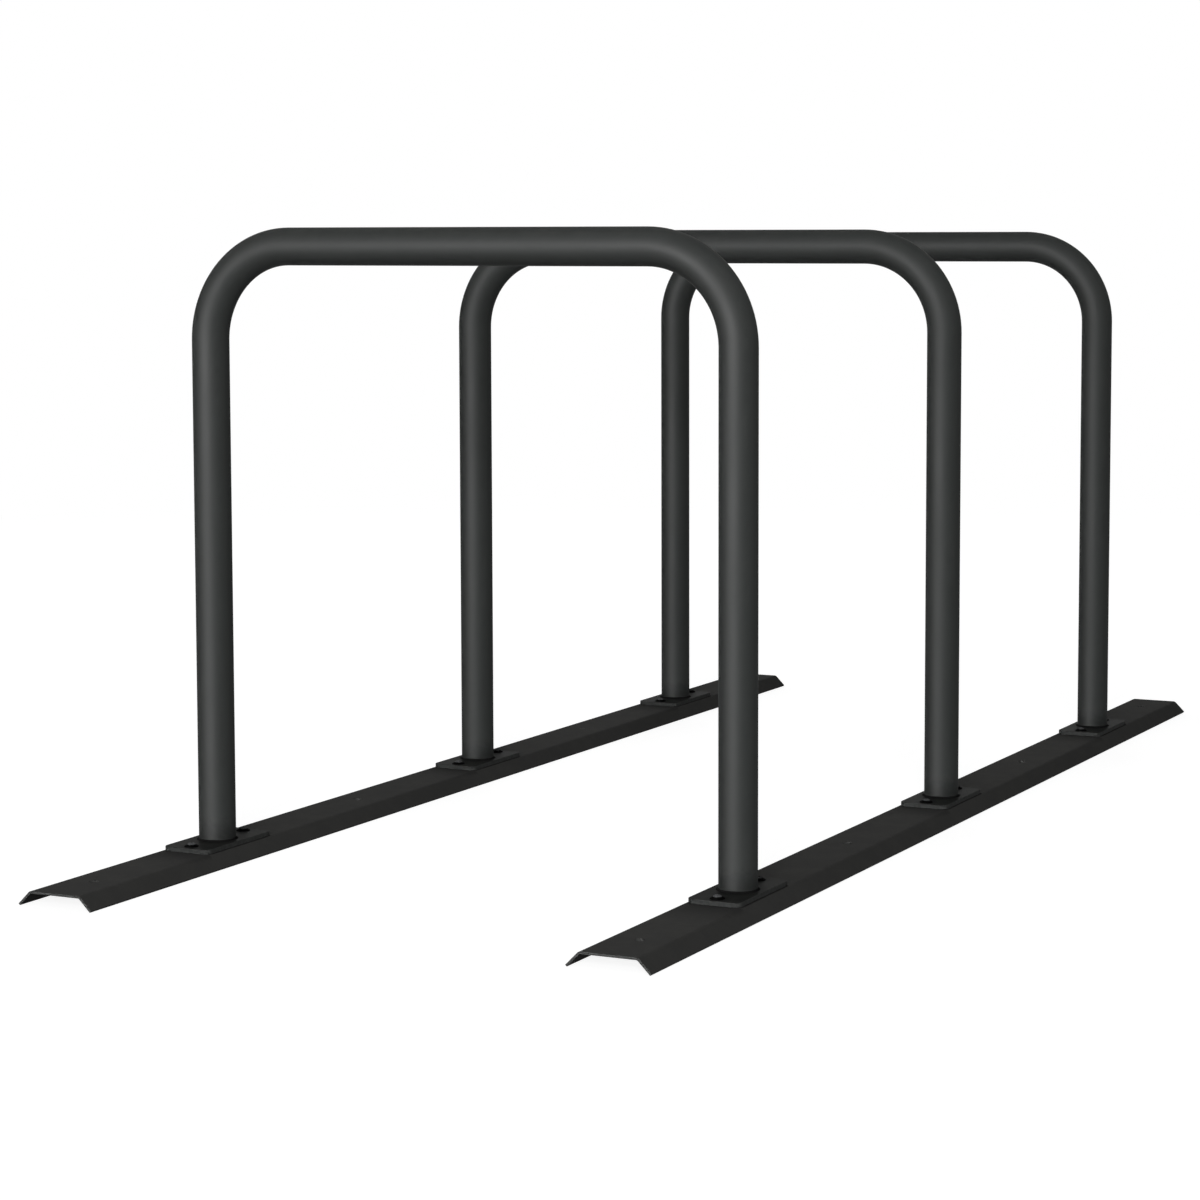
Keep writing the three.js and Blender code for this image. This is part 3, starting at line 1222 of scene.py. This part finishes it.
@dataclass
class GroundRail(Part):
    """A rail of sheet, folded down along both sides, with its anchor and screw holes."""

    title = "ground_rail"
    node = "rail"
    slot = Slot.RAIL
    spread = Spread.RAILS

    length: float = 2100 * MM
    web_width: float = 74 * MM
    fold_angle: float = math.radians(45)
    fold_inner_radius: float = 3 * MM
    fold_steps: int = 8
    anchor_hole: float = 12 * MM
    anchor_end_inset: float = 80 * MM
    screw_hole: float = 9 * MM
    hole_sides: int = 40
    edge_round: float = 0.35 * MM
    edge_steps: int = 2

    def model(self) -> bpy.types.Object:
        """Fold the rail and drill it.

        Returns:
            A rail on the rack's centre line.
        """
        piece = self.fold()
        self.drill(piece)
        Bench.ease(piece, self.edge_round, self.edge_steps)
        return piece

    def fold(self) -> bpy.types.Object:
        """Fold a flat strip and give it its thickness.

        Returns:
            The blank rail.
        """
        reach = RAIL_TOP_Z - SHEET * math.cos(self.fold_angle)
        half = self.web_width / 2
        top = Vector((0, 0, RAIL_TOP_Z))
        Bench.clear()
        bpy.ops.mesh.primitive_plane_add(size=self.web_width, location=top)
        piece = Bench.claim("rail_master")
        Bench.edit(piece, whole=True)
        Bench.scale((1, self.length / self.web_width, 1), top)
        for side in Side:
            edge_x = side.value * half
            Bench.pick_points(piece, lambda point: abs(point.x - edge_x) < MM)
            Bench.extrude((side.value * reach / math.tan(self.fold_angle), 0, -reach))
        Bench.pick_edges(piece, lambda a, b: abs(abs(a.x) - half) < MM and abs(a.x - b.x) < MM)
        setback = (self.fold_inner_radius + SHEET) * math.tan(self.fold_angle / 2)
        bpy.ops.mesh.bevel(offset=setback, segments=self.fold_steps, affect="EDGES", clamp_overlap=False)
        Bench.close()
        Bench.face_outwards(piece)
        Bench.apply(piece, "SOLIDIFY", thickness=SHEET, offset=-1, use_even_offset=True)
        return piece

    def drill(self, rail: bpy.types.Object) -> None:
        """Drill the holes for the anchors and for the foot plates' screws.

        Args:
            rail: The blank rail.
        """
        last = self.length / 2 - self.anchor_end_inset
        anchors = [-last, -HOOP_PITCH / 2, HOOP_PITCH / 2, last]
        screws = [(row.move + end.move).y for row, end in product(Row, End)]
        for diameter, places in ((self.anchor_hole, anchors), (self.screw_hole, screws)):
            for y in places:
                Bench.drill(rail, diameter, self.hole_sides, Vector((0, y, RAIL_TOP_Z)), SHEET)


@dataclass
class FootPlate(Part):
    """A foot plate with round corners, welded to a leg and screwed to the rail."""

    title = "foot_plate"
    node = "foot_plate"
    slot = Slot.PLATE
    spread = Spread.FEET

    length: float = 150 * MM
    width: float = 70 * MM
    thickness: float = 6 * MM
    corner_radius: float = 10 * MM
    corner_steps: int = 10
    screw_hole: float = 9 * MM
    hole_sides: int = 40
    edge_round: float = 0.6 * MM
    edge_steps: int = 3

    def model(self) -> bpy.types.Object:
        """Cut the plate out and drill it.

        Returns:
            A plate over the origin.
        """
        middle = Vector((0, 0, PLATE_TOP_Z - self.thickness / 2))
        Bench.clear()
        bpy.ops.mesh.primitive_cube_add(size=self.thickness, location=middle)
        piece = Bench.claim("plate_master")
        Bench.edit(piece, whole=True)
        Bench.scale((self.width / self.thickness, self.length / self.thickness, 1), middle)
        Bench.pick_edges(piece, lambda a, b: abs(a.z - b.z) > MM)
        bpy.ops.mesh.bevel(offset=self.corner_radius, segments=self.corner_steps, affect="EDGES")
        Bench.close()
        for end in End:
            top = end.move + Vector((0, 0, PLATE_TOP_Z))
            Bench.drill(piece, self.screw_hole, self.hole_sides, top, self.thickness)
        Bench.ease(piece, self.edge_round, self.edge_steps)
        return piece


@dataclass
class WeldBead(Part):
    """The fillet of weld between a leg and its foot plate."""

    title = "weld_bead"
    node = "weld"
    slot = Slot.PLATE
    spread = Spread.FEET

    inner_radius: float = 24.1 * MM
    toe_radius: float = 25.9 * MM
    height: float = 2.0 * MM
    bulge: float = 0.16
    section_steps: int = 6
    ripples: int = 64
    ripple_depth: float = 0.3 * MM
    smooth_below: float = math.radians(70)

    def model(self) -> bpy.types.Object:
        """Grow the bead's section round the leg and ripple it.

        Returns:
            A bead round the upright axis of the origin.
        """
        base = Vector((0, 0, PLATE_TOP_Z))
        piece = Bench.lathe("weld_master", self.section(), 2 * self.ripples, base)
        Bench.pick_points(piece, self.is_valley)
        share = 1 - self.ripple_depth / self.toe_radius
        Bench.scale((share, share, 1), base)
        Bench.close()
        Bench.smooth(piece, self.smooth_below)
        return piece

    def section(self) -> Profile:
        """Draw the bead's section: up its bulging skin and back down along the tube.

        Returns:
            Radius and height of each point.
        """
        start = (self.inner_radius, 0.0)
        run = self.toe_radius - self.inner_radius
        skin = []
        for i in range(self.section_steps + 1):
            along = i / self.section_steps
            bulge = 1 + self.bulge * math.sin(math.pi * along)
            skin.append((self.inner_radius + run * (1 - along) * bulge, self.height * along * bulge))
        return [start, *skin, start]

    def is_valley(self, point: Vector) -> bool:
        """Whether a point of the bead lies on its skin, in the dip between two ripples.

        Args:
            point: The point's place.

        Returns:
            True for a point of the dips.
        """
        turn = round(math.atan2(point.y, point.x) / (math.pi / self.ripples))
        skin_radius = self.inner_radius + self.ripple_depth
        return turn % 2 == 0 and math.hypot(point.x, point.y) > skin_radius


@dataclass
class ButtonScrew(Part):
    """A button head screw with a hexagon socket, its thread showing below the nut."""

    title = "button_screw"
    node = "screw"
    slot = Slot.SCREW
    spread = Spread.SCREWS

    diameter: float = 8 * MM
    length: float = 20 * MM
    tip_chamfer: float = 0.8 * MM
    pitch: float = 1.25 * MM
    crests: int = 5

    # Where a crest starts and ends, and how deep the thread is, as shares of its pitch
    crest_span: tuple[float, float] = (0.42, 0.58)
    thread_depth: float = 0.6

    collar_diameter: float = 17.8 * MM
    collar_height: float = 1.3 * MM
    collar_round: float = 0.3 * MM
    dome_diameter: float = 13.6 * MM
    top_diameter: float = 8.2 * MM
    head_height: float = 4.4 * MM
    socket: float = 5 * MM
    socket_depth: float = 2.6 * MM
    socket_chamfer: float = 0.35 * MM
    cone_depth: float = 1.2 * MM
    cone_end: float = 0.2
    cutter_spare: float = 0.65 * MM
    sides: int = 48
    dome_steps: int = 8
    smooth_below: float = math.radians(35)

    def model(self) -> bpy.types.Object:
        """Turn the screw on the lathe and sink its socket.

        Returns:
            A screw on the upright axis of the origin.
        """
        base = Vector((0, 0, PLATE_TOP_Z))
        piece = Bench.lathe("screw_master", self.thread() + self.head(), self.sides, base)
        Bench.cut(piece, Bench.hexagon("key", self.key(), base))
        Bench.smooth(piece, self.smooth_below)
        return piece

    def thread(self) -> Profile:
        """Draw the shank, with the thread's crests at its tip.

        Returns:
            Radius and height of each ring, from the tip up to the head.
        """
        shank = self.diameter / 2
        root = shank - self.thread_depth * self.pitch
        crest_start, crest_end = self.crest_span
        rings = [(root, -self.length)]
        for i in range(self.crests):
            low = -self.length + self.tip_chamfer / 2 + i * self.pitch
            rings.append((shank, low + crest_start * self.pitch))
            rings.append((shank, low + crest_end * self.pitch))
            rings.append((root, low + self.pitch))
        thread_end = rings[-1][1] + self.pitch / 2
        return [*rings, (shank, thread_end), (shank, 0.0)]

    def head(self) -> Profile:
        """Draw the head: a thin collar, then a part of a ball.

        Returns:
            Radius and height of each ring, from the plate up.
        """
        collar, eased = self.collar_diameter / 2, self.collar_round
        rings = [(collar, 0.0), (collar, self.collar_height - 2 * eased)]
        rings.append((collar - eased, self.collar_height - eased / 2))
        foot, top = self.dome_diameter / 2, self.top_diameter / 2
        rise = self.head_height - self.collar_height
        ball_z = (top**2 + rise**2 - foot**2) / (2 * rise)
        ball = math.hypot(foot, ball_z)
        start, end = math.atan2(-ball_z, foot), math.atan2(rise - ball_z, top)
        for i in range(self.dome_steps + 1):
            angle = start + (end - start) * i / self.dome_steps
            rings.append((ball * math.cos(angle), self.collar_height + ball_z + ball * math.sin(angle)))
        return rings

    def key(self) -> Profile:
        """Draw the cutter of the socket: a cone at its floor, the hexagon and the chamfer at its mouth.

        Returns:
            Radius at the corners and height of each step.
        """
        corner = self.socket / math.sqrt(3)
        floor = self.head_height - self.socket_depth
        tip = (self.cone_end * corner, floor - self.cone_depth)
        mouth = (corner, self.head_height - self.socket_chamfer)
        above = (corner + self.socket_chamfer + self.cutter_spare, self.head_height + self.cutter_spare)
        return [tip, (corner, floor), mouth, above]


@dataclass
class PlainWasher(Part):
    """A washer between the rail's web and a nut."""

    title = "plain_washer"
    node = "washer"
    slot = Slot.ZINC
    spread = Spread.SCREWS

    diameter: float = 16 * MM
    thickness: float = 1.6 * MM
    hole: float = 8.6 * MM
    sides: int = 56
    edge_round: float = 0.25 * MM
    edge_steps: int = 2

    def model(self) -> bpy.types.Object:
        """Turn the washer on the lathe.

        Returns:
            A washer on the upright axis of the origin.
        """
        hole, rim, under = self.hole / 2, self.diameter / 2, -self.thickness
        section = [(rim, 0.0), (rim, under), (hole, under), (hole, 0.0), (rim, 0.0)]
        piece = Bench.lathe("washer_master", section, self.sides, Vector((0, 0, WEB_UNDERSIDE_Z)))
        Bench.ease(piece, self.edge_round, self.edge_steps)
        return piece


@dataclass
class HexNut(Part):
    """A hexagon nut under a washer."""

    title = "hex_nut"
    node = "nut"
    slot = Slot.ZINC
    spread = Spread.SCREWS

    across_flats: float = 13 * MM
    height: float = 6.8 * MM
    face_share: float = 0.95
    corner_slope: float = math.radians(30)
    corner_spare: float = 0.2 * MM
    bore: float = 8.1 * MM
    bore_chamfer: float = 0.6 * MM
    cutter_spare: float = 0.5 * MM
    sides: int = 48
    smooth_below: float = math.radians(25)

    def model(self) -> bpy.types.Object:
        """Make a hexagon, take its corners off and bore it.

        Returns:
            A nut on the upright axis of the origin.
        """
        base = Vector((0, 0, WEB_UNDERSIDE_Z - PlainWasher.thickness - self.height))
        corner = self.across_flats / math.sqrt(3)
        piece = Bench.hexagon("nut_master", [(corner, 0.0), (corner, self.height)], base)
        rounded = Bench.lathe("corners", self.rounding(corner + self.corner_spare), self.sides, base)
        Bench.cut(piece, rounded, Keep.INSIDE)
        Bench.cut(piece, Bench.lathe("bore", self.boring(), self.sides, base))
        Bench.smooth(piece, self.smooth_below)
        return piece

    def rounding(self, reach: float) -> Profile:
        """Draw the round shape that takes the hexagon's corners off at both faces.

        Args:
            reach: Its radius between the faces.

        Returns:
            Radius and height of each ring.
        """
        face = self.face_share * self.across_flats / 2
        drop = (reach - face) * math.tan(self.corner_slope)
        return [(face, 0.0), (reach, drop), (reach, self.height - drop), (face, self.height)]

    def boring(self) -> Profile:
        """Draw the cutter of the bore, wider at both mouths.

        Returns:
            Radius and height of each ring.
        """
        bore, mouth = self.bore / 2, self.bore / 2 + self.bore_chamfer
        wide, spare = mouth + self.cutter_spare, self.cutter_spare
        lower = [(wide, -spare), (mouth, 0.0), (bore, self.bore_chamfer)]
        upper = [(radius, self.height - height) for radius, height in reversed(lower)]
        return lower + upper


@dataclass(frozen=True)
class Lamp:
    """A soft lamp, with its azimuth from the rack's front and its elevation in degrees.

    Its level is how bright it makes a white face that is turned to it, one being white.
    """

    name: str
    azimuth: float
    elevation: float
    distance: float
    size: tuple[float, float]
    level: float
    shine: Shine = Shine.FULL
    aim: float = 350 * MM

    def build(self) -> None:
        """Hang the lamp so that it looks at the middle of the rack, at the height of its aim."""
        light = bpy.data.lights.new(self.name, "AREA")
        light.shape = "RECTANGLE"
        light.size, light.size_y = self.size
        light.energy = self.level * (math.pi * self.distance) ** 2
        turn, tilt = math.radians(self.azimuth), math.radians(self.elevation)
        away = Vector((math.sin(turn) * math.cos(tilt), -math.cos(turn) * math.cos(tilt), math.sin(tilt)))
        lamp = bpy.data.objects.new(self.name, light)
        lamp.location = Vector((0, 0, self.aim)) + away * self.distance
        lamp.rotation_euler = (-away).to_track_quat("-Z", "Y").to_euler()
        lamp.visible_diffuse, lamp.visible_glossy = self.shine.value
        bpy.context.scene.collection.objects.link(lamp)


KEY_LAMP = Lamp("key_lamp", 22, 16, distance=9, size=(3.0, 3.0), level=0.66)
HIGH_LAMP = Lamp("high_lamp", 5, 50, distance=8, size=(3.0, 3.0), level=0.08)
BACK_LAMP = Lamp("back_lamp", 205, 14, distance=9, size=(4.0, 3.0), level=0.34, shine=Shine.LIGHT_ONLY)
SIDE_LAMP = Lamp("side_lamp", 232, 7, distance=9, size=(3.0, 2.0), level=0.3, shine=Shine.LIGHT_ONLY)
STRIPE_LAMP = Lamp("stripe_lamp", -6, 6, distance=9, size=(6.6, 3.4), level=32.0, shine=Shine.GLOSS_ONLY)


@dataclass(frozen=True)
class PhotoCamera:
    """The camera, at the photograph's viewing angle."""

    name: str = "photo_camera"
    place: tuple[float, float, float] = (1.8690, -4.0063, 0.7993)
    tilt: float = math.radians(84.968)
    turn: float = math.radians(25.062)
    focal_mm: float = 91.13
    sensor_mm: float = 36
    shift: tuple[float, float] = (-0.0821, -0.0707)
    sight: float = 100

    def build(self) -> None:
        """Set the camera up as the scene's own."""
        lens = bpy.data.cameras.new(self.name)
        lens.sensor_width = self.sensor_mm
        lens.lens = self.focal_mm
        lens.shift_x, lens.shift_y = self.shift
        lens.clip_end = self.sight
        camera = bpy.data.objects.new(self.name, lens)
        camera.location = self.place
        camera.rotation_euler = (self.tilt, 0, self.turn)
        bpy.context.scene.collection.objects.link(camera)
        bpy.context.scene.camera = camera


@dataclass
class Studio:
    """The pale floor, the lamps, the surroundings and the camera."""

    lamps: tuple[Lamp, ...] = (KEY_LAMP, HIGH_LAMP, BACK_LAMP, SIDE_LAMP, STRIPE_LAMP)
    camera: PhotoCamera = PhotoCamera()
    floor_half: float = 14.0
    floor_bounce: float = 0.1
    sky_level: float = 0.05

    # Round the rack the floor glows a little less and is lit by the lamps, so that it shows a shadow
    pool: tuple[float, float] = (2.0, 5.0)
    pool_grey: float = 0.34
    pool_dimming: float = 0.12

    def build(self) -> None:
        """Set the studio up."""
        self.lay_floor()
        self.paint_world()
        for lamp in self.lamps:
            lamp.build()
        self.camera.build()

    def seen(self, graph: Graph) -> Socket:
        """Tell which rays see the background: from the camera, off gloss or through glass.

        Args:
            graph: The graph to work in.

        Returns:
            One for such a ray, and zero for light that falls on the rack.
        """
        path = graph.add("ShaderNodeLightPath")
        some = graph.calc("MAXIMUM", path.outputs["Is Camera Ray"], path.outputs["Is Glossy Ray"])
        return graph.calc("MAXIMUM", some, path.outputs["Is Transmission Ray"])

    def lay_floor(self) -> None:
        """Lay a floor that looks white and keeps the rack's shadow."""
        Bench.clear()
        bpy.ops.mesh.primitive_plane_add(size=2 * self.floor_half, location=(0, 0, 0))
        floor = Bench.claim("studio_floor")
        material = bpy.data.materials.new("studio_floor_white")
        material.use_nodes = True
        material.node_tree.nodes.clear()
        graph = Graph(material.node_tree)
        length = graph.add("ShaderNodeVectorMath", operation="LENGTH")
        graph.feed(length.inputs[0], graph.here())
        pool = graph.fade(length.outputs["Value"], *self.pool)
        lit = graph.add("ShaderNodeBsdfDiffuse")
        graph.feed(lit.inputs["Color"], graph.blend(pool, grey(0.0), grey(self.pool_grey)))
        glow = graph.add("ShaderNodeEmission")
        graph.feed(glow.inputs["Strength"], graph.calc("MULTIPLY_ADD", pool, -self.pool_dimming, 1.0))
        looks = graph.add("ShaderNodeAddShader")
        graph.feed(looks.inputs[0], lit.outputs[0])
        graph.feed(looks.inputs[1], glow.outputs[0])
        bounce = graph.add("ShaderNodeBsdfDiffuse")
        bounce.inputs["Color"].default_value = grey(self.floor_bounce)
        chosen = graph.add("ShaderNodeMixShader")
        graph.feed(chosen.inputs[0], self.seen(graph))
        graph.feed(chosen.inputs[1], bounce.outputs[0])
        graph.feed(chosen.inputs[2], looks.outputs[0])
        graph.feed(graph.add("ShaderNodeOutputMaterial").inputs["Surface"], chosen.outputs[0])
        floor.data.materials.append(material)

    def paint_world(self) -> None:
        """Surround the rack with white that lights it only softly."""
        world = bpy.data.worlds.new("studio_surroundings")
        bpy.context.scene.world = world
        world.use_nodes = True
        world.node_tree.nodes.clear()
        graph = Graph(world.node_tree)
        background = graph.add("ShaderNodeBackground")
        background.inputs["Color"].default_value = grey(1.0)
        strength = graph.add("ShaderNodeMix", data_type="FLOAT")
        graph.feed(strength.inputs["Factor"], self.seen(graph))
        strength.inputs["A"].default_value = self.sky_level
        strength.inputs["B"].default_value = 1
        graph.feed(background.inputs["Strength"], strength.outputs["Result"])
        graph.feed(graph.add("ShaderNodeOutputWorld").inputs["Surface"], background.outputs[0])


def main() -> None:
    """Build the rack and its studio, and report each piece."""
    logging.basicConfig(level=logging.INFO, format="%(name)s: %(message)s")
    bpy.context.scene.view_settings.view_transform = "Standard"
    zinc = ZincPlate().material()
    parts = (
        HoopTube(HoopCoat().material()),
        GroundRail(RailCoat().material()),
        FootPlate(PlateCoat().material()),
        WeldBead(WeldCoat().material()),
        ButtonScrew(BlackSteel().material()),
        PlainWasher(zinc),
        HexNut(zinc),
    )
    for part in parts:
        for piece in part.build():
            log.info("%s: %d faces in %s", piece.name, len(piece.data.polygons), part.finish.name)
    Studio().build()


if __name__ == "__main__":
    main()
